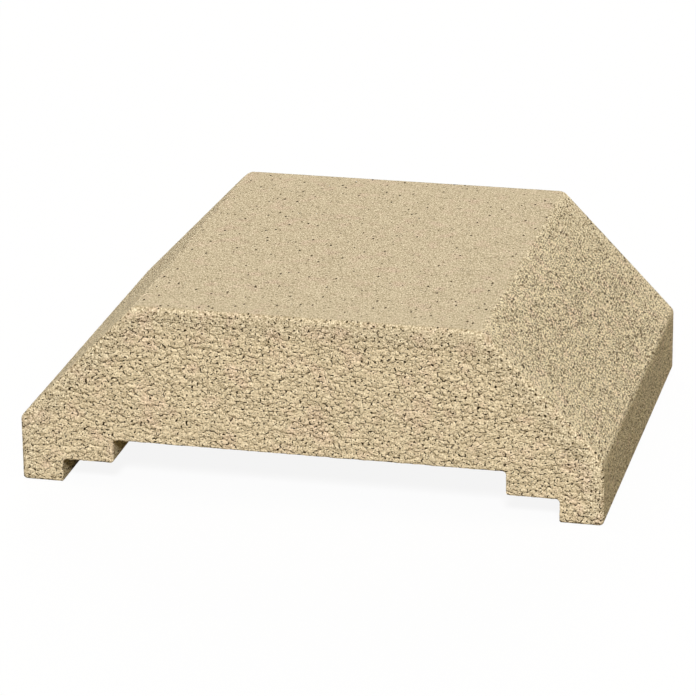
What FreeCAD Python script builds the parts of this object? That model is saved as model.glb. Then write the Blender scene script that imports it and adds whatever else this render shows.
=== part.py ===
import FreeCAD, Part
import os

import Sketcher

# Wall coping stone: one cast block that caps a free-standing wall.
# Width lies along X (across the wall), length along Y (along the wall), +Z is up.
# The origin is at the middle of the footprint, on the plane of the two nibs' undersides.

NODE = "coping_stone"

# Driving dimensions in millimetres: alias, value, what it measures
SIZES = [
    ("stone_length", 230.0, "length along the wall, end face to end face"),
    ("narrow_rebate_width", 202.0, "deep rebate, takes the head of a 200 mm wall"),
    ("ledge_width", 27.0, "step beside the deep rebate, the seat on a 250 mm wall"),
    ("nib_width", 22.0, "downstand that laps over the wall's face"),
    ("nib_height", 12.5, "depth of the wide rebate, nib underside to ledge"),
    ("ledge_step", 12.5, "further depth of the deep rebate, ledge to ceiling"),
    ("edge_height", 34.0, "vertical long side, nib underside to side arris"),
    ("slope_run", 61.5, "weathered slope, measured across the wall"),
    ("slope_rise", 64.0, "weathered slope, measured upwards"),
    ("crown_radius", 6.0, "rounding where the slopes meet the flat crown"),
    ("side_arris_radius", 5.0, "rounding where the slopes meet the long sides"),
    ("end_arris_radius", 2.5, "easing where the crown, slopes and sides meet the end faces"),
    ("nib_corner_radius", 1.5, "lower corners of the nibs"),
    ("ledge_corner_radius", 2.0, "lower corners of the ledges"),
    ("rebate_root_radius", 2.0, "inner corners of both rebates"),
]

# Widths and heights that follow from the driving dimensions
WIDE_REBATE = "(sizes.narrow_rebate_width + 2 * sizes.ledge_width)"
BASE_WIDTH = "(%s + 2 * sizes.nib_width)" % WIDE_REBATE
CROWN_WIDTH = "(%s - 2 * sizes.slope_run)" % BASE_WIDTH
REBATE_DEPTH = "(sizes.nib_height + sizes.ledge_step)"
TOTAL_HEIGHT = "(sizes.edge_height + sizes.slope_rise)"

# Two places closer than this are the same place
MATCH = 0.01


# Constraints count a line's ends from 1, and the sketch's own axes downwards from -1
def start_of(line):
    return line, 1


def end_of(line):
    return line, 2


def both_ends(line):
    return start_of(line) + end_of(line)


def centre_on_vertical_axis(sketch, line):
    sketch.addConstraint(Sketcher.Constraint("Symmetric", *both_ends(line), -2))


def start_on_horizontal_axis(sketch, line):
    sketch.addConstraint(Sketcher.Constraint("PointOnObject", *start_of(line), -1))


def make_sheet(doc):
    sheet = doc.addObject("Spreadsheet::Sheet", "sizes")
    for row, (alias, value, meaning) in enumerate(SIZES, start=1):
        sheet.set("A%d" % row, alias)
        sheet.set("B%d" % row, "%g" % value)
        sheet.set("C%d" % row, meaning)
        sheet.setAlias("B%d" % row, alias)
    doc.recompute()
    return sheet


def origin_plane(body, role):
    for feature in body.Origin.OriginFeatures:
        if feature.Role == role:
            return feature
    raise RuntimeError("no origin plane " + role)


def section_sketch(body, name):
    # Sketches lie in the wall's cross-section, sketch X across the wall and sketch Y upwards
    sketch = body.newObject("Sketcher::SketchObject", name)
    sketch.AttachmentSupport = [(origin_plane(body, "XZ_Plane"), "")]
    sketch.MapMode = "FlatFace"
    return sketch


def add_outline(sketch, points):
    corners = [FreeCAD.Vector(x, y, 0) for x, y in points]
    lines = []
    for start, end in zip(corners, corners[1:] + corners[:1]):
        lines.append(sketch.addGeometry(Part.LineSegment(start, end), False))
    for line, following in zip(lines, lines[1:] + lines[:1]):
        sketch.addConstraint(Sketcher.Constraint("Coincident", *end_of(line), *start_of(following)))
    return lines


def drive(sketch, name, expression, *references):
    index = sketch.addConstraint(Sketcher.Constraint(*references))
    sketch.renameConstraint(index, name)
    sketch.setExpression("Constraints." + name, expression)


def value_of(sheet, expression):
    return float(sheet.evalExpression(expression))


def pad_block(body, sheet):
    half_base = value_of(sheet, BASE_WIDTH) / 2
    half_crown = value_of(sheet, CROWN_WIDTH) / 2
    height = value_of(sheet, TOTAL_HEIGHT)
    edge = value_of(sheet, "sizes.edge_height")
    sketch = section_sketch(body, "block_section")
    bottom, right, slope, crown, _, left = add_outline(sketch, [
        (-half_base, 0), (half_base, 0), (half_base, edge),
        (half_crown, height), (-half_crown, height), (-half_base, edge)])
    for line in (bottom, crown):
        centre_on_vertical_axis(sketch, line)
    for line in (right, left):
        sketch.addConstraint(Sketcher.Constraint("Vertical", line))
    start_on_horizontal_axis(sketch, bottom)
    sketch.addConstraint(Sketcher.Constraint("Equal", right, left))
    drive(sketch, "base_width", BASE_WIDTH, "DistanceX", *both_ends(bottom), 2 * half_base)
    drive(sketch, "edge_height", "sizes.edge_height", "DistanceY", *both_ends(right), edge)
    drive(sketch, "crown_width", CROWN_WIDTH,
          "DistanceX", *end_of(crown), *start_of(crown), 2 * half_crown)
    drive(sketch, "slope_rise", "sizes.slope_rise", "DistanceY", *both_ends(slope), height - edge)
    pad = body.newObject("PartDesign::Pad", "block")
    pad.Profile = sketch
    pad.SideType = "Symmetric"
    pad.setExpression("Length", "sizes.stone_length")


def cut_rebate(body, sheet, name, width_expression, depth_expression):
    half_width = value_of(sheet, width_expression) / 2
    depth = value_of(sheet, depth_expression)
    sketch = section_sketch(body, name + "_section")
    bottom, right, top, left = add_outline(sketch, [
        (-half_width, 0), (half_width, 0), (half_width, depth), (-half_width, depth)])
    centre_on_vertical_axis(sketch, bottom)
    sketch.addConstraint(Sketcher.Constraint("Horizontal", top))
    for line in (right, left):
        sketch.addConstraint(Sketcher.Constraint("Vertical", line))
    start_on_horizontal_axis(sketch, bottom)
    drive(sketch, "width", width_expression, "DistanceX", *both_ends(bottom), 2 * half_width)
    drive(sketch, "depth", depth_expression, "DistanceY", *both_ends(right), depth)
    pocket = body.newObject("PartDesign::Pocket", name)
    pocket.Profile = sketch
    pocket.SideType = "Symmetric"
    pocket.setExpression("Length", "sizes.stone_length")


def middle_of(edge):
    return edge.valueAt((edge.FirstParameter + edge.LastParameter) / 2)


def long_edges(shape, half_places):
    # Edges that run the length of the stone; each (x, z) place on the +X side has its mirror image
    places = [(side * x, z) for x, z in half_places for side in (1, -1)]
    names = []
    for number, edge in enumerate(shape.Edges, start=1):
        first, last = edge.firstVertex().Point, edge.lastVertex().Point
        runs_along = abs(first.x - last.x) < MATCH and abs(first.z - last.z) < MATCH
        if runs_along and any(abs(first.x - x) < MATCH and abs(first.z - z) < MATCH for x, z in places):
            names.append("Edge%d" % number)
    if len(names) != len(places):
        raise RuntimeError("expected %d long edges, found %d" % (len(places), len(names)))
    return names


def end_outline_edges(shape, half_length, half_wide, ceiling):
    # The outer outline of both end faces, from one nib up over the crown and down to the other nib
    names = []
    for number, edge in enumerate(shape.Edges, start=1):
        middle = middle_of(edge)
        on_end = all(abs(abs(place.y) - half_length) < MATCH
                     for place in (edge.firstVertex().Point, middle, edge.lastVertex().Point))
        beside_rebates = abs(middle.x) > half_wide + MATCH and middle.z > MATCH
        above_rebates = middle.z > ceiling + MATCH
        if on_end and (beside_rebates or above_rebates):
            names.append("Edge%d" % number)
    return names


def round_edges(doc, body, name, radius, edges):
    base = body.Tip
    fillet = body.newObject("PartDesign::Fillet", name)
    fillet.Base = (base, edges)
    fillet.setExpression("Radius", "sizes." + radius)
    doc.recompute()


def make_stone(doc, sheet):
    body = doc.addObject("PartDesign::Body", NODE)
    body.Label = NODE
    body.Placement = FreeCAD.Placement()
    pad_block(body, sheet)
    doc.recompute()
    uncut = body.Shape.Volume
    cut_rebate(body, sheet, "wide_rebate", WIDE_REBATE, "sizes.nib_height")
    doc.recompute()
    after_wide = body.Shape.Volume
    cut_rebate(body, sheet, "narrow_rebate", "sizes.narrow_rebate_width", REBATE_DEPTH)
    doc.recompute()
    if not body.Shape.Volume < after_wide < uncut:
        raise RuntimeError("a rebate cut nothing")

    half_base = value_of(sheet, BASE_WIDTH) / 2
    half_crown = value_of(sheet, CROWN_WIDTH) / 2
    half_wide = value_of(sheet, WIDE_REBATE) / 2
    half_narrow = value_of(sheet, "sizes.narrow_rebate_width") / 2
    height = value_of(sheet, TOTAL_HEIGHT)
    edge = value_of(sheet, "sizes.edge_height")
    ledge = value_of(sheet, "sizes.nib_height")
    ceiling = value_of(sheet, REBATE_DEPTH)
    half_length = value_of(sheet, "sizes.stone_length") / 2

    round_edges(doc, body, "crown_arris", "crown_radius",
                long_edges(body.Shape, [(half_crown, height)]))
    round_edges(doc, body, "side_arris", "side_arris_radius",
                long_edges(body.Shape, [(half_base, edge)]))
    round_edges(doc, body, "end_arris", "end_arris_radius",
                end_outline_edges(body.Shape, half_length, half_wide, ceiling))
    round_edges(doc, body, "rebate_roots", "rebate_root_radius",
                long_edges(body.Shape, [(half_wide, ledge), (half_narrow, ceiling)]))
    round_edges(doc, body, "ledge_corners", "ledge_corner_radius",
                long_edges(body.Shape, [(half_narrow, ledge)]))
    round_edges(doc, body, "nib_corners", "nib_corner_radius",
                long_edges(body.Shape, [(half_base, 0), (half_wide, 0)]))
    return body


def check(doc, parts):
    for feature in doc.Objects:
        if "Invalid" in feature.State or "Error" in feature.State:
            raise RuntimeError("%s failed: %s" % (feature.Name, feature.State))
    for part in parts:
        if part.Shape.isNull() or not part.Shape.isValid() or len(part.Shape.Solids) != 1:
            raise RuntimeError(part.Label + " is not one valid solid")


document = FreeCAD.newDocument("wall_coping_stone")
size_sheet = make_sheet(document)
stone = make_stone(document, size_sheet)
document.recompute()
check(document, [stone])

os.makedirs("parts", exist_ok=True)
stone.Shape.exportStep(os.path.join("parts", stone.Label + ".step"))
box = stone.Shape.optimalBoundingBox()
print("%s: %.1f x %.1f x %.1f mm, %.3f litres" % (
    stone.Label, box.XLength, box.YLength, box.ZLength, stone.Shape.Volume / 1e6))
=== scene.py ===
import math

import bmesh
import bpy
import numpy as np
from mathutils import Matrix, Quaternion, Vector
from mathutils.geometry import delaunay_2d_cdt


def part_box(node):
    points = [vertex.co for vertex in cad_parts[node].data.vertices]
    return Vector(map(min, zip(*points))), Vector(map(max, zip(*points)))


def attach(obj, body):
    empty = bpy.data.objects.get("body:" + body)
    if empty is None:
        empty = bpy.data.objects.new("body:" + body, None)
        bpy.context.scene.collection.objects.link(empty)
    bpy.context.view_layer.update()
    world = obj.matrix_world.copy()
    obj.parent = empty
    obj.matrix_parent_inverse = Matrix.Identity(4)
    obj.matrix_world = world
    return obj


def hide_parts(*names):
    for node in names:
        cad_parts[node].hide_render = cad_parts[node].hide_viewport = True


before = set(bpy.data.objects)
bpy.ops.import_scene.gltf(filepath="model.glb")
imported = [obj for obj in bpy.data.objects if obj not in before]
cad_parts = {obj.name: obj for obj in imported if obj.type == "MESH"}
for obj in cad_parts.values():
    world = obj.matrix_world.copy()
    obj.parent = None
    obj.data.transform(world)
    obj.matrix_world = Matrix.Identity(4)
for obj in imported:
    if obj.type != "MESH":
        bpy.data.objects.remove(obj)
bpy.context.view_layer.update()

stoneLow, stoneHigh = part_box("coping_stone")
halfWidth = stoneHigh.x
halfLength = stoneHigh.y
crownHeight = stoneHigh.z


# Node helpers, used by the relief tree and by the materials

def feed(tree, socket, value):
    if isinstance(value, bpy.types.NodeSocket):
        tree.links.new(value, socket)
    else:
        socket.default_value = value


def addNode(tree, kind, inputs=None, **settings):
    node = tree.nodes.new(kind)
    for name, value in settings.items():
        setattr(node, name, value)
    for name, value in (inputs or {}).items():
        feed(tree, node.inputs[name], value)
    return node


def calc(tree, operation, *values, clamp=False):
    node = addNode(tree, "ShaderNodeMath", operation=operation, use_clamp=clamp)
    for socket, value in zip(node.inputs, values):
        feed(tree, socket, value)
    return node.outputs[0]


def ramp(tree, value, low, high, atLow=0.0, atHigh=1.0):
    node = addNode(tree, "ShaderNodeMapRange", {
        "Value": value, "From Min": low, "From Max": high, "To Min": atLow, "To Max": atHigh},
        interpolation_type="SMOOTHSTEP")
    return node.outputs["Result"]


def vectorCalc(tree, operation, first, second):
    return addNode(tree, "ShaderNodeVectorMath", {0: first, 1: second}, operation=operation).outputs[0]


def noise(tree, space, size, detail=0.0, rough=0.5, output="Fac", flat=False):
    node = addNode(tree, "ShaderNodeTexNoise", {
        "Vector": space, "Scale": calc(tree, "DIVIDE", 1.0, size), "Detail": detail, "Roughness": rough},
        noise_dimensions="2D" if flat else "3D")
    return node.outputs[output]


def mixFloat(tree, share, first, second):
    node = addNode(tree, "ShaderNodeMix", data_type="FLOAT")
    for socket, value in zip((node.inputs[0], node.inputs[2], node.inputs[3]), (share, first, second)):
        feed(tree, socket, value)
    return node.outputs[0]


# Stone blank: a finely meshed copy of the cast block, finest on the ends

stoneBlank = {
    "sideHeight": 0.034,    # foot of the slopes
    "slopeRun": 0.0615,     # slopes, measured across the wall
    "endStep": 0.00088,     # mesh step on the open-grained ends
    "endBand": 0.003,       # how far that step goes on round the end arrises
    "arrisStep": 0.0015,    # along the long arrises
    "arrisBand": 0.004,
    "faceStep": 0.0027,     # on crown, slopes and sides
    "underStep": 0.0075,    # under the stone
    "underTop": 0.026,
    "sideSkin": 0.0005,     # low points deeper than this inside the long sides are under the stone
    "growth": 0.3,          # how fast the step grows away from the ends and arrises
    "rimGap": 0.55,         # steps between a face's outline and the points inside it
    "fadeIn": 0.016,        # the open grain reaches full depth this far inside the end's outline
    "crownEdge": 0.08,      # and starts at this share of it below the crown
    "slopeEdge": 0.2,
    "sideEdge": 0.4,
    "calmReach": 0.04,      # width of the smoother bands along the ends
    "calmEnds": 0.1,        # the slopes' grain is finer by this much there
    "headReach": 0.03,      # height of the smoother bands below the crown
    "calmHead": 0.25,
    "chipStart": 0.002,     # the long arrises chip fully this near to them
    "chipReach": 0.006,     # and not at all beyond this
    "endTurn": (0.05, 0.65),    # lean towards an end, from no open grain to all of it
    "slopeTurn": (0.2, 0.62),   # lean across the wall, from the crown's grain to the slopes'
    "endSlope": 0.6,            # the ends take this much of the slopes' grain
    "endSlopeTurn": (0.2, 0.6),
}
rowPitch = math.sqrt(3) / 2     # rows of points lie this many steps apart
samePlace = 1e-6                # points nearer than this are one
sameFace = math.radians(0.05)   # faces that turn less than this are one


def meshStep(places):
    x, y, z = np.abs(places[..., 0]), np.abs(places[..., 1]), places[..., 2]
    underneath = (z < stoneBlank["underTop"]) & (x < halfWidth - stoneBlank["sideSkin"])
    step = np.where(underneath, stoneBlank["underStep"], stoneBlank["faceStep"])
    fromEnd = np.maximum(0.0, halfLength - y - stoneBlank["endBand"])
    step = np.minimum(step, stoneBlank["endStep"] + stoneBlank["growth"] * fromEnd)
    for arrisX, arrisZ in ((halfWidth, stoneBlank["sideHeight"]),
                           (halfWidth - stoneBlank["slopeRun"], crownHeight)):
        fromArris = np.maximum(0.0, np.hypot(x - arrisX, z - arrisZ) - stoneBlank["arrisBand"])
        step = np.minimum(step, stoneBlank["arrisStep"] + stoneBlank["growth"] * fromArris)
    return step


def divideEdge(edge, samples=240):
    first, last = edge.verts
    share = np.linspace(0.0, 1.0, samples + 1)
    places = np.array(first.co) + share[:, None] * (np.array(last.co) - np.array(first.co))
    steps = edge.calc_length() / samples / meshStep((places[1:] + places[:-1]) / 2)
    steps = np.concatenate(([0.0], np.cumsum(steps)))
    pieces = max(1, round(steps[-1]))
    done = 0.0
    for stop in np.interp(np.arange(1, pieces) * steps[-1] / pieces, steps, share):
        first = bmesh.utils.edge_split(edge, first, (stop - done) / (1.0 - done))[1]
        edge = next(link for link in first.link_edges if last in link.verts)
        done = stop


def insideOutline(points, outline):
    u, v = points[:, :1], points[:, 1:]
    startU, startV = outline.T
    endU, endV = np.roll(outline, -1, axis=0).T
    spans = (startV > v) != (endV > v)
    height = np.where(endV == startV, 1.0, endV - startV)
    return (spans & (u < (endU - startU) * (v - startV) / height + startU)).sum(axis=1) % 2 == 1


def gapToOutline(points, outline):
    run = np.roll(outline, -1, axis=0) - outline
    reach = points[:, None, :] - outline[None]
    share = np.clip((reach * run).sum(axis=-1) / (run * run).sum(axis=-1), 0.0, 1.0)
    return np.linalg.norm(reach - share[..., None] * run, axis=-1).min(axis=1)


def fillFace(mesh, face):  # triangles on a lattice of points inside a flat face
    normal = np.array(face.normal)
    onEnd = abs(normal[1]) > 0.7
    rowsAlong = np.array((0.0, 0.0, 1.0) if onEnd else (0.0, 1.0, 0.0))
    up = rowsAlong - normal * normal.dot(rowsAlong)
    up /= np.linalg.norm(up)
    side = np.cross(up, normal)
    corners = list(face.verts)
    origin = np.array(corners[0].co)
    outline = (np.array([corner.co for corner in corners]) - origin) @ np.stack((side, up), axis=1)
    low, high = outline.min(axis=0), outline.max(axis=0)
    inner = [np.empty((0, 2))]
    v = low[1]
    while v < high[1]:
        step = float(meshStep(origin + (low[0] + high[0]) / 2 * side + v * up))
        u = np.arange(low[0] + (len(inner) % 2) * step / 2, high[0], step)
        row = np.stack((u, np.full_like(u, v)), axis=1)
        row = row[insideOutline(row, outline)]
        if len(row):
            row = row[gapToOutline(row, outline) > stoneBlank["rimGap"] * step]
        inner.append(row)
        v += step * rowPitch
    inner = np.concatenate(inner)
    points = [Vector(point) for point in np.concatenate((outline, inner))]
    count = len(corners)
    rim = [(number, (number + 1) % count) for number in range(count)]
    insideOnly, sameSpot = 1, 1e-9
    _, _, triangles, order, _, _ = delaunay_2d_cdt(points, rim, [], insideOnly, sameSpot)
    verts = corners + [mesh.verts.new(origin + u * side + v * up) for u, v in inner]
    return [[verts[order[corner][0]] for corner in triangle] for triangle in triangles]


def refineStone(node):
    mesh = bmesh.new()
    mesh.from_mesh(node.data)
    bmesh.ops.remove_doubles(mesh, verts=mesh.verts, dist=samePlace)
    bmesh.ops.dissolve_limit(mesh, angle_limit=sameFace, verts=mesh.verts, edges=mesh.edges)
    for edge in list(mesh.edges):
        divideEdge(edge)
    mesh.normal_update()
    flats = [face for face in mesh.faces if len(face.verts) > 3]
    triangles = [triangle for face in flats for triangle in fillFace(mesh, face)]
    bmesh.ops.delete(mesh, geom=flats, context="FACES_ONLY")
    for triangle in triangles:
        mesh.faces.new(triangle)
    blank = bpy.data.meshes.new("stoneBlank")
    mesh.to_mesh(blank)
    mesh.free()
    for name in ("custom_normal", "sharp_edge", "sharp_face"):
        if name in blank.attributes:
            blank.attributes.remove(blank.attributes[name])
    return blank


def smoothStep(values, low, high):
    share = np.clip((values - low) / (high - low), 0.0, 1.0)
    return share * share * (3.0 - 2.0 * share)


def markZones(mesh):  # which skin each point of the stone has
    count = len(mesh.vertices)
    places = np.empty(count * 3, dtype=np.float32)
    normals = np.empty(count * 3, dtype=np.float32)
    mesh.vertices.foreach_get("co", places)
    mesh.vertex_normals.foreach_get("vector", normals)
    x, y, z = np.abs(places.reshape(-1, 3)).T
    across, along, _ = np.abs(normals.reshape(-1, 3)).T
    run, rise = stoneBlank["slopeRun"], crownHeight - stoneBlank["sideHeight"]
    aboveSide = z - stoneBlank["sideHeight"]
    belowSlope = ((halfWidth - x) * rise - aboveSide * run) / math.hypot(run, rise)
    openGrain = smoothStep(along, *stoneBlank["endTurn"])
    insets = ((crownHeight - z, "crownEdge"), (belowSlope, "slopeEdge"), (halfWidth - x, "sideEdge"))
    for inset, name in insets:
        start = stoneBlank[name]
        openGrain = openGrain * (start + (1.0 - start) * smoothStep(inset, 0.0, stoneBlank["fadeIn"]))
    slopeGrain = np.maximum(smoothStep(across, *stoneBlank["slopeTurn"]),
                            stoneBlank["endSlope"] * smoothStep(along, *stoneBlank["endSlopeTurn"]))
    nearEnd = 1.0 - smoothStep(halfLength - y, 0.0, stoneBlank["calmReach"])
    nearHead = 1.0 - smoothStep(crownHeight - z, 0.0, stoneBlank["headReach"])
    slopeGrain = slopeGrain * (1.0 - stoneBlank["calmEnds"] * nearEnd)
    slopeGrain = slopeGrain * (1.0 - stoneBlank["calmHead"] * nearHead)
    arris = np.zeros(count)
    for arrisX, arrisZ in ((halfWidth, stoneBlank["sideHeight"]), (halfWidth - run, crownHeight)):
        fromArris = np.hypot(x - arrisX, z - arrisZ)
        chipped = 1.0 - smoothStep(fromArris, stoneBlank["chipStart"], stoneBlank["chipReach"])
        arris = np.maximum(arris, chipped)
    zones = {"openGrain": openGrain, "slopeGrain": slopeGrain, "nearEnd": nearEnd, "arris": arris,
             "endArris": 4.0 * along * (1.0 - along)}
    for name, values in zones.items():
        layer = mesh.attributes.new(name, "FLOAT", "POINT")
        layer.data.foreach_set("value", values.astype(np.float32))


# Grain: plates of sand set at uneven depths, with broken seams between them

endGrain = {
    "Lump Size": 0.0028,
    "Lump Step": 0.00034,    # how far one lump may stand behind another
    "Lump Seam": 0.0003,     # depth of the open seams
    "Lump Gap": 0.00035,     # their half width
    "Lump Hold": 0.63,       # higher for fewer open seams
    "Crumb Size": 0.0013,
    "Crumb Step": 0.00011,
    "Crumb Seam": 0.0002,
    "Crumb Gap": 0.00025,
    "Crumb Hold": 0.7,
    "Softness": 0.45,
    "Roundness": 0.22,       # share of the depth that rounds each plate off
    "Chip Size": 0.005,
    "Chip Depth": 0.0004,
    "Skin Size": 0.006,
    "Skin Depth": 0.0002,
    "Seed": 7,
}
plateForm = {
    "lean": 0.05,              # the grain changes this little along the wall, so seams stay open inwards
    "flat": 1.3,               # lumps lie a little flat, as the mix was tamped
    "edgeSize": 0.006,         # the open grain's edge wanders
    "edgeSwing": 0.9,
    "edgeStart": 0.15,
    "shake": 0.9,              # and so do the plates' outlines, in plate sizes
    "dome": 2.5,
    "patch": 0.6,              # length of the open stretches of seam, in plate sizes
    "opening": (-0.04, 0.12),  # from closed to open, past the hold
    "seam": (0.2, 1.0),        # from full depth to none, in half widths of the seam
    # where the painted highlight beside a seam rises and fades, in half widths of the seam
    "rimHighlightRise": (0.6, 1.2),
    "rimHighlightFall": (1.4, 2.6),
    "chips": (0.5, 0.75),      # from whole arris to chipped
}
uneven = {"detail": 2.0, "rough": 0.6}


def endPlane(tree, place):
    parts = addNode(tree, "ShaderNodeSeparateXYZ", {0: place}).outputs
    u = calc(tree, "ADD", parts["X"], calc(tree, "MULTIPLY", parts["Y"], plateForm["lean"]))
    v = calc(tree, "MULTIPLY", parts["Z"], plateForm["flat"])
    return addNode(tree, "ShaderNodeCombineXYZ", {"X": u, "Y": v}).outputs[0]


def raggedEdge(tree, plane, share):
    wander = noise(tree, plane, plateForm["edgeSize"], flat=True, **uneven)
    wander = calc(tree, "SUBTRACT", wander, 0.5)
    moved = calc(tree, "ADD", share, calc(tree, "MULTIPLY", wander, plateForm["edgeSwing"]), clamp=True)
    return calc(tree, "MULTIPLY", moved, ramp(tree, share, 0.0, plateForm["edgeStart"]))


def plates(tree, plane, size, gap, hold, softness, roundness):  # depth, open seams and painted highlights beside them
    shake = noise(tree, plane, size, detail=1.0, output="Color", flat=True)
    swing = addNode(tree, "ShaderNodeVectorMath", {
        0: vectorCalc(tree, "SUBTRACT", shake, (0.5, 0.5, 0.5)),
        "Scale": calc(tree, "MULTIPLY", size, plateForm["shake"])}, operation="SCALE").outputs[0]
    inputs = {"Vector": vectorCalc(tree, "ADD", plane, swing), "Scale": calc(tree, "DIVIDE", 1.0, size)}
    cells = addNode(tree, "ShaderNodeTexVoronoi", feature="SMOOTH_F1", voronoi_dimensions="2D")
    edges = addNode(tree, "ShaderNodeTexVoronoi", feature="DISTANCE_TO_EDGE", voronoi_dimensions="2D")
    for node in (cells, edges):
        for name, value in inputs.items():
            feed(tree, node.inputs[name], value)
    feed(tree, cells.inputs["Smoothness"], softness)
    level = addNode(tree, "ShaderNodeSeparateXYZ", {0: cells.outputs["Color"]}).outputs["X"]
    dome = calc(tree, "POWER", cells.outputs["Distance"], 2.0)
    depth = mixFloat(tree, roundness, level, calc(tree, "MULTIPLY", dome, plateForm["dome"]))
    patches = noise(tree, plane, calc(tree, "MULTIPLY", size, plateForm["patch"]), flat=True)
    broken = ramp(tree, calc(tree, "SUBTRACT", patches, hold), *plateForm["opening"])
    reach = calc(tree, "DIVIDE", calc(tree, "MULTIPLY", edges.outputs["Distance"], size), gap)
    seam = calc(tree, "MULTIPLY", broken, ramp(tree, reach, *plateForm["seam"], 1.0, 0.0))
    rimHighlight = calc(tree, "MULTIPLY", ramp(tree, reach, *plateForm["rimHighlightRise"]),
               ramp(tree, reach, *plateForm["rimHighlightFall"], 1.0, 0.0))
    return depth, seam, calc(tree, "MULTIPLY", rimHighlight, broken)


def buildRelief():
    tree = bpy.data.node_groups.new("castRelief", "GeometryNodeTree")
    tree.interface.new_socket("Blank", in_out="INPUT", socket_type="NodeSocketGeometry")
    for name, value in endGrain.items():
        kind = "NodeSocketInt" if isinstance(value, int) else "NodeSocketFloat"
        tree.interface.new_socket(name, in_out="INPUT", socket_type=kind)
    tree.interface.new_socket("Finish", in_out="INPUT", socket_type="NodeSocketMaterial")
    tree.interface.new_socket("Stone", in_out="OUTPUT", socket_type="NodeSocketGeometry")
    given = addNode(tree, "NodeGroupInput").outputs
    place = addNode(tree, "GeometryNodeInputPosition").outputs[0]
    outward = addNode(tree, "GeometryNodeInputNormal").outputs["Normal"]

    def stored(name):
        node = addNode(tree, "GeometryNodeInputNamedAttribute", {"Name": name}, data_type="FLOAT")
        return node.outputs[0]

    plane = endPlane(tree, place)
    relief = 0.0
    for name in ("Lump", "Crumb"):
        sizes = (given[name + part] for part in (" Size", " Gap", " Hold"))
        depth, seam, _ = plates(tree, plane, *sizes, given["Softness"], given["Roundness"])
        for share, part in ((depth, " Step"), (seam, " Seam")):
            relief = calc(tree, "ADD", relief, calc(tree, "MULTIPLY", share, given[name + part]))
    relief = calc(tree, "MULTIPLY", relief, raggedEdge(tree, plane, stored("openGrain")))
    shifted = vectorCalc(tree, "ADD", place, given["Seed"])
    chips = ramp(tree, noise(tree, shifted, given["Chip Size"], **uneven), *plateForm["chips"])
    chips = calc(tree, "MULTIPLY", calc(tree, "MULTIPLY", chips, stored("arris")), given["Chip Depth"])
    skin = noise(tree, shifted, given["Skin Size"], **uneven)
    skin = calc(tree, "MULTIPLY", skin, given["Skin Depth"])
    inward = calc(tree, "ADD", calc(tree, "ADD", relief, chips), skin)
    offset = addNode(tree, "ShaderNodeVectorMath", {
        0: outward, "Scale": calc(tree, "MULTIPLY", inward, -1.0)}, operation="SCALE").outputs[0]
    cut = addNode(tree, "GeometryNodeSetPosition", {"Geometry": given["Blank"], "Offset": offset})
    smooth = addNode(tree, "GeometryNodeSetShadeSmooth", {"Geometry": cut.outputs[0]})
    whole = addNode(tree, "GeometryNodeRealizeInstances", {"Geometry": smooth.outputs[0]})
    coated = addNode(tree, "GeometryNodeSetMaterial", {
        "Geometry": whole.outputs[0], "Material": given["Finish"]})
    addNode(tree, "NodeGroupOutput", {"Stone": coated.outputs[0]})
    return tree


def carveStone(blank, finish):
    rough = bpy.data.objects.new("stoneRough", blank)
    bpy.context.scene.collection.objects.link(rough)
    tree = buildRelief()
    modifier = rough.modifiers.new("relief", "NODES")
    modifier.node_group = tree
    values = dict(endGrain, Finish=finish)
    for socket in tree.interface.items_tree:
        if socket.in_out == "INPUT" and socket.name in values:
            modifier[socket.identifier] = values[socket.name]
    depsgraph = bpy.context.evaluated_depsgraph_get()
    carved = bpy.data.meshes.new_from_object(rough.evaluated_get(depsgraph))
    rough.modifiers.remove(modifier)
    bpy.data.objects.remove(rough)
    carved.name = "castStone"
    stone = bpy.data.objects.new("cast_stone_block", carved)
    bpy.context.scene.collection.objects.link(stone)
    return stone


# Finish: sand-coloured cast stone

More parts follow.
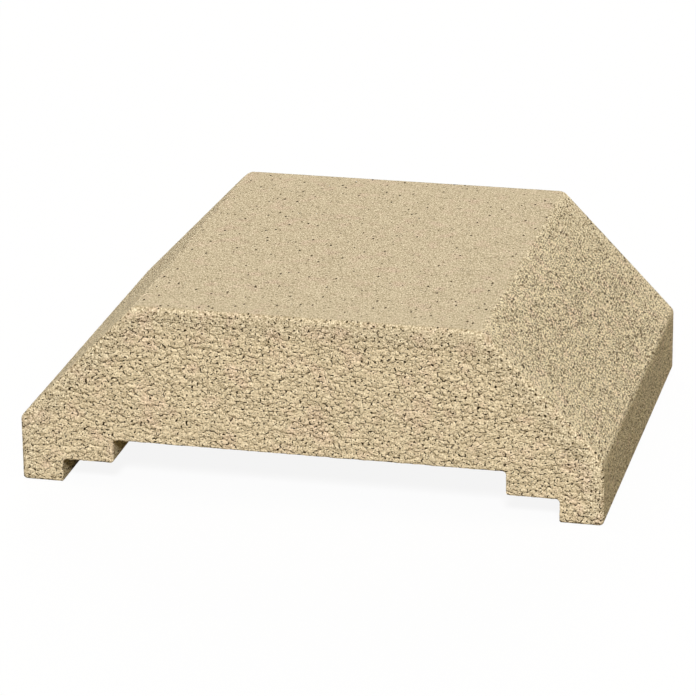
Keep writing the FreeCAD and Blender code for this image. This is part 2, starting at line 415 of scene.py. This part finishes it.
stoneFinish = {
    "tones": (20, 70, 120, 170, 220, 245),  # greys of the sand, from the painted shade of a pit to pale grain
    "redder": 15,                           # the sand's red and blue against its green
    "bluer": -29,
    "rose": (1.03, 0.975, 1.02, 1.0),       # tint of the rosy patches
    "roseSize": 0.01,
    "rosePatch": (0.5, 0.75),
    "shadeTint": (1.02, 0.985, 0.93, 1.0),      # yellower tint of the slopes, sides and ends: painted shade colour, the warm cast of their shade
    "mottle": 0.05,       # broad paler and darker patches
    "mottleSize": 0.014,
    "bandTone": 0.004,    # paler along the ends
    "bandCalm": 0.3,      # and less varied
    "arrisShade": 0.06,    # painted shade on the ends' rounded arrises, against the extra key light they catch
    "crownTone": 0.706,   # each skin's own tone
    "slopeTone": 0.863,
    "endTone": 0.8,
    "crownSand": 0.56,    # how much the sand varies it
    "slopeSand": 1.4,
    "endSand": 0.8,
    "crownGrainHighlight": 0.15,    # and the painted highlight in each grain's middle, with painted shade at its rim
    "slopeGrainHighlight": 1.2,
    "endGrainHighlight": 0.1,
    "crownBump": 0.3,     # how far the sand stands up, mm
    "slopeBump": 0.75,
    "endBump": 0.25,
    "crownPits": 0.05,    # share of the grains that have fallen out
    "slopePits": 0.22,
    "pitSize": 0.00105,
    "pitEdge": (0.2, 0.5),       # floor and rim of a pit, in pit sizes
    # how dark the painted shade in a pit is, on the crown and on the slopes
    "crownPitShade": 0.4,
    "slopePitShade": 2.4,
    "crownHoleSpacing": 0.0045,  # blowholes
    "crownHoleSize": 0.00064,
    # how dark the painted shade in a crown blowhole is
    "crownHoleShade": 0.58,
    "slopeHoleSpacing": 0.003,
    "slopeHoleSize": 0.00062,
    # how dark the painted shade in a slope blowhole is
    "slopeHoleShade": 1.1,
    "holeFloor": 0.4,            # share of a blowhole's size that is its floor
    # how dark the painted shade in the open seams is
    "seamShadeStrength": 2.2,
    # how pale the painted highlight beside the open seams is
    "rimHighlightPale": 0.1,
    "endRelief": 1.1,            # the ends' seams and steps, in the bump as well
    "plateSoftness": 0.3,
    "crownSandSize": 0.0006,
    "slopeSandSize": 0.0005,
    "sandStretch": (1.0, 0.5, 1.0),  # sand and blowholes are longer along the wall
    "roughness": (0.98, 0.86),       # in the sand's hollows and on its grains
    "specular": 0.15,
    "bumpUnit": 0.001,
}


def linear(count):
    share = min(max(count, 0), 255) / 255
    return share / 12.92 if share <= 0.04045 else ((share + 0.055) / 1.055) ** 2.4


def sandTones(tree, tone):
    node = addNode(tree, "ShaderNodeValToRGB", {"Fac": tone})
    stops = node.color_ramp.elements
    while len(stops) < len(stoneFinish["tones"]):
        stops.new(0.5)
    for stop, grey in zip(stops, stoneFinish["tones"]):
        stop.position = grey / 255
        red, blue = grey + stoneFinish["redder"], grey + stoneFinish["bluer"]
        stop.color = (linear(red), linear(grey), linear(blue), 1.0)
    return node.outputs["Color"]


def plateGroup():
    group = bpy.data.node_groups.new("sandPlates", "ShaderNodeTree")
    group.interface.new_socket("Plane", in_out="INPUT", socket_type="NodeSocketVector")
    sizes = ("Size", "Gap", "Hold", "Softness", "Roundness")
    for name in sizes:
        group.interface.new_socket(name, in_out="INPUT", socket_type="NodeSocketFloat")
    for name in ("Depth", "Seam", "Rim Highlight"):
        group.interface.new_socket(name, in_out="OUTPUT", socket_type="NodeSocketFloat")
    given = addNode(group, "NodeGroupInput").outputs
    depth, seam, rimHighlight = plates(group, given["Plane"], *(given[name] for name in sizes))
    addNode(group, "NodeGroupOutput", {"Depth": depth, "Seam": seam, "Rim Highlight": rimHighlight})
    return group


def endPlates(tree, plane):  # bump, seams and painted seam highlights of both sizes of plate
    group = plateGroup()
    relief, seams, rimHighlights = 0.0, 0.0, 0.0
    for name in ("Lump", "Crumb"):
        node = addNode(tree, "ShaderNodeGroup", {
            "Plane": plane, "Softness": stoneFinish["plateSoftness"],
            "Roundness": endGrain["Roundness"]}, node_tree=group)
        for part in ("Size", "Gap", "Hold"):
            feed(tree, node.inputs[part], endGrain[name + " " + part])
        for output, part in (("Depth", " Step"), ("Seam", " Seam")):
            share = endGrain[name + part] / endGrain["Lump Step"]
            relief = calc(tree, "ADD", relief, calc(tree, "MULTIPLY", node.outputs[output], share))
        seams = calc(tree, "MAXIMUM", seams, node.outputs["Seam"])
        rimHighlights = calc(tree, "MAXIMUM", rimHighlights, node.outputs["Rim Highlight"])
    return relief, seams, rimHighlights


def blowholes(tree, space, slopeGrain):
    holes = []
    for face in ("crown", "slope"):
        spacing = stoneFinish[face + "HoleSpacing"]
        bubbles = addNode(tree, "ShaderNodeTexVoronoi", {
            "Vector": space, "Scale": 1.0 / spacing}, feature="F1").outputs["Distance"]
        rim = stoneFinish[face + "HoleSize"] / spacing
        holes.append(ramp(tree, bubbles, stoneFinish["holeFloor"] * rim, rim, 1.0, 0.0))
    return mixFloat(tree, slopeGrain, *holes)


def mixColour(tree, share, first, second, blend="MIX"):
    node = addNode(tree, "ShaderNodeMix", data_type="RGBA", blend_type=blend)
    for socket, value in zip((node.inputs[0], node.inputs[6], node.inputs[7]), (share, first, second)):
        feed(tree, socket, value)
    return node.outputs[2]


def tint(tree, share, colour, by):
    return mixColour(tree, share, colour, mixColour(tree, 1.0, colour, by, "MULTIPLY"))


def castStoneFinish():
    material = bpy.data.materials.new("cast_stone_finish")
    material.use_nodes = True
    tree = material.node_tree
    shader = next(node for node in tree.nodes if node.type == "BSDF_PRINCIPLED")
    place = addNode(tree, "ShaderNodeTexCoord").outputs["Object"]
    plane = endPlane(tree, place)
    openGrain, slopeGrain, nearEnd, endArris = (
        addNode(tree, "ShaderNodeAttribute", attribute_name=name).outputs["Fac"]
        for name in ("openGrain", "slopeGrain", "nearEnd", "endArris"))
    openGrain = raggedEdge(tree, plane, openGrain)

    def zoned(name):
        faces = mixFloat(tree, slopeGrain, stoneFinish["crown" + name], stoneFinish["slope" + name])
        if "end" + name not in stoneFinish:
            return faces
        return mixFloat(tree, openGrain, faces, stoneFinish["end" + name])

    relief, seams, rimHighlights = endPlates(tree, plane)
    cells = addNode(tree, "ShaderNodeTexVoronoi", {
        "Vector": place, "Scale": 1.0 / stoneFinish["pitSize"]}, feature="F1").outputs
    chance = addNode(tree, "ShaderNodeSeparateXYZ", {0: cells["Color"]}).outputs["X"]
    isPit = calc(tree, "LESS_THAN", chance, zoned("Pits"))
    # painted highlight in the middle of each grain, painted shade at its rim
    grainHighlight = calc(tree, "MULTIPLY", calc(tree, "SUBTRACT", 0.5, cells["Distance"]), zoned("GrainHighlight"))
    hollows = ramp(tree, cells["Distance"], *stoneFinish["pitEdge"], 1.0, 0.0)
    pits = calc(tree, "MULTIPLY", isPit, hollows)
    stretched = vectorCalc(tree, "MULTIPLY", place, stoneFinish["sandStretch"])
    holes = blowholes(tree, stretched, slopeGrain)
    sand = mixFloat(tree, slopeGrain, noise(tree, stretched, stoneFinish["crownSandSize"]),
                    noise(tree, stretched, stoneFinish["slopeSandSize"]))
    sand = calc(tree, "SUBTRACT", sand, 0.5)
    calm = calc(tree, "SUBTRACT", 1.0, calc(tree, "MULTIPLY", nearEnd, stoneFinish["bandCalm"]))
    mottle = noise(tree, place, stoneFinish["mottleSize"], detail=2.0)
    mottle = calc(tree, "MULTIPLY", calc(tree, "SUBTRACT", mottle, 0.5), stoneFinish["mottle"])
    tone = calc(tree, "ADD", zoned("Tone"), calc(tree, "MULTIPLY", nearEnd, stoneFinish["bandTone"]))
    # the sand's own varied tone plus the grains' painted highlight and shade
    sandAndHighlight = calc(tree, "ADD", calc(tree, "MULTIPLY", sand, zoned("Sand")), grainHighlight)
    tone = calc(tree, "ADD", tone, calc(tree, "MULTIPLY", sandAndHighlight, calm))
    tone = calc(tree, "ADD", tone, mottle)
    # painted shade on the ends' rounded arrises
    tone = calc(tree, "SUBTRACT", tone, calc(tree, "MULTIPLY", endArris, stoneFinish["arrisShade"]))
    # painted shade in the pits and blowholes
    pitShade = calc(tree, "MAXIMUM", calc(tree, "MULTIPLY", pits, zoned("PitShade")),
                  calc(tree, "MULTIPLY", holes, zoned("HoleShade")))
    # painted shade in the open seams, less the painted highlight beside them
    seamShadeAndHighlight = calc(tree, "SUBTRACT", calc(tree, "MULTIPLY", seams, stoneFinish["seamShadeStrength"]),
                  calc(tree, "MULTIPLY", rimHighlights, stoneFinish["rimHighlightPale"]))
    # painted shade and highlight of pits, blowholes and seams, taken off the tone
    paintedShadeAndHighlight = mixFloat(tree, openGrain, pitShade, seamShadeAndHighlight)
    colour = sandTones(tree, calc(tree, "SUBTRACT", tone, paintedShadeAndHighlight, clamp=True))
    rosy = noise(tree, place, stoneFinish["roseSize"], detail=2.0)
    colour = tint(tree, ramp(tree, rosy, *stoneFinish["rosePatch"]), colour, stoneFinish["rose"])
    # painted shade colour: the slopes, sides and ends are tinted yellower
    shadeTint = calc(tree, "MAXIMUM", openGrain, slopeGrain)
    colour = tint(tree, shadeTint, colour, stoneFinish["shadeTint"])
    feed(tree, shader.inputs["Base Color"], colour)
    feed(tree, shader.inputs["Roughness"], ramp(tree, sand, -0.3, 0.3, *stoneFinish["roughness"]))
    feed(tree, shader.inputs["Specular IOR Level"], stoneFinish["specular"])
    pocked = calc(tree, "MAXIMUM", pits, holes)
    hollow = mixFloat(tree, openGrain, pocked, calc(tree, "MULTIPLY", relief, stoneFinish["endRelief"]))
    height = calc(tree, "SUBTRACT", calc(tree, "MULTIPLY", sand, zoned("Bump")), hollow)
    bump = addNode(tree, "ShaderNodeBump", {
        "Height": height, "Strength": 1.0, "Distance": stoneFinish["bumpUnit"]})
    feed(tree, shader.inputs["Normal"], bump.outputs["Normal"])
    return material


# Studio: pale floor, soft key from the front, weak lamp behind, even fill

studio = {
    "keyToward": (0.14, -0.74, 0.658),         # from the stone towards the key lamp
    "keySpread": 14.0,                         # degrees
    "keyStrength": 3.4,
    "backToward": (-0.22, 0.93, 0.3),          # weak lamp behind, so that the far end isn't lost
    "backSpread": 40.0,
    "backStrength": 1.1,
    "fill": 0.28,
    "fillColour": (1.0, 0.91, 0.66, 1.0),
    "floorSize": 12.0,
    "floorBounce": (0.14, 0.105, 0.025, 1.0),  # what the floor sends back onto the stone
    "floorShade": (0.92, 0.93, 0.97, 1.0),
    "floorGlow": 0.9,                          # share of plain white that the camera sees in the floor
}
white = (1.0, 1.0, 1.0, 1.0)


def seenDirectly(tree):  # camera, glossy and transmission rays
    path = addNode(tree, "ShaderNodeLightPath").outputs
    seen = calc(tree, "MAXIMUM", path["Is Camera Ray"], path["Is Glossy Ray"])
    return calc(tree, "MAXIMUM", seen, path["Is Transmission Ray"])


def mixShader(tree, share, first, second):
    node = addNode(tree, "ShaderNodeMixShader")
    for socket, value in zip(node.inputs, (share, first, second)):
        feed(tree, socket, value)
    return node.outputs[0]


def floorFinish():
    material = bpy.data.materials.new("pale_floor")
    material.use_nodes = True
    tree = material.node_tree
    tree.nodes.clear()
    shaded = addNode(tree, "ShaderNodeBsdfDiffuse", {"Color": studio["floorShade"]}).outputs[0]
    bounce = addNode(tree, "ShaderNodeBsdfDiffuse", {"Color": studio["floorBounce"]}).outputs[0]
    glow = addNode(tree, "ShaderNodeEmission", {"Color": white, "Strength": 1.0}).outputs[0]
    seen = mixShader(tree, studio["floorGlow"], shaded, glow)
    addNode(tree, "ShaderNodeOutputMaterial",
            {"Surface": mixShader(tree, seenDirectly(tree), bounce, seen)})
    return material


def layFloor():
    half = studio["floorSize"] / 2
    mesh = bpy.data.meshes.new("studioFloor")
    corners = [(-half, -half, 0), (half, -half, 0), (half, half, 0), (-half, half, 0)]
    mesh.from_pydata(corners, [], [(0, 1, 2, 3)])
    mesh.materials.append(floorFinish())
    floor = bpy.data.objects.new("studio_floor", mesh)
    bpy.context.scene.collection.objects.link(floor)


def lightStudio():
    for name in ("key", "back"):
        data = bpy.data.lights.new(name, "SUN")
        data.energy = studio[name + "Strength"]
        data.angle = math.radians(studio[name + "Spread"])
        toward = Vector(studio[name + "Toward"]).normalized()
        lamp = bpy.data.objects.new(name + "_lamp", data)
        lamp.location = toward
        lamp.rotation_euler = (-toward).to_track_quat("-Z", "Y").to_euler()
        bpy.context.scene.collection.objects.link(lamp)

    world = bpy.data.worlds.new("studioFill")
    bpy.context.scene.world = world
    world.use_nodes = True
    tree = world.node_tree
    tree.nodes.clear()
    fill = addNode(tree, "ShaderNodeBackground", {
        "Color": studio["fillColour"], "Strength": studio["fill"]}).outputs[0]
    seen = addNode(tree, "ShaderNodeBackground", {"Color": white, "Strength": 1.0}).outputs[0]
    addNode(tree, "ShaderNodeOutputWorld", {"Surface": mixShader(tree, seenDirectly(tree), fill, seen)})


# Camera: the photograph's viewpoint

camera = {
    "azimuth": 13.509,    # degrees, from the front end towards +X
    "elevation": 20.253,
    "roll": -0.559,
    "aim": (-0.00514, -0.00361, 0.04199),
    "distance": 1.94688,
    "lens": 191.579,
    "sensor": 36.0,
}


def placeCamera():
    data = bpy.data.cameras.new("view")
    data.lens = camera["lens"]
    data.sensor_width = camera["sensor"]
    azimuth, elevation = math.radians(camera["azimuth"]), math.radians(camera["elevation"])
    toward = Vector((math.sin(azimuth) * math.cos(elevation),
                     -math.cos(azimuth) * math.cos(elevation), math.sin(elevation)))
    turn = (-toward).to_track_quat("-Z", "Y") @ Quaternion((0, 0, 1), math.radians(camera["roll"]))
    view = bpy.data.objects.new("view_camera", data)
    view.location = Vector(camera["aim"]) + toward * camera["distance"]
    view.rotation_euler = turn.to_euler()
    bpy.context.scene.collection.objects.link(view)
    bpy.context.scene.camera = view


bpy.context.scene.view_settings.view_transform = "Standard"

blank = refineStone(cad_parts["coping_stone"])
markZones(blank)
print("blank:", len(blank.vertices), "points,", len(blank.polygons), "triangles")
stone = carveStone(blank, castStoneFinish())
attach(stone, "root")
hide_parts("coping_stone")
print("stone carved")

layFloor()
lightStudio()
placeCamera()
print("studio set")
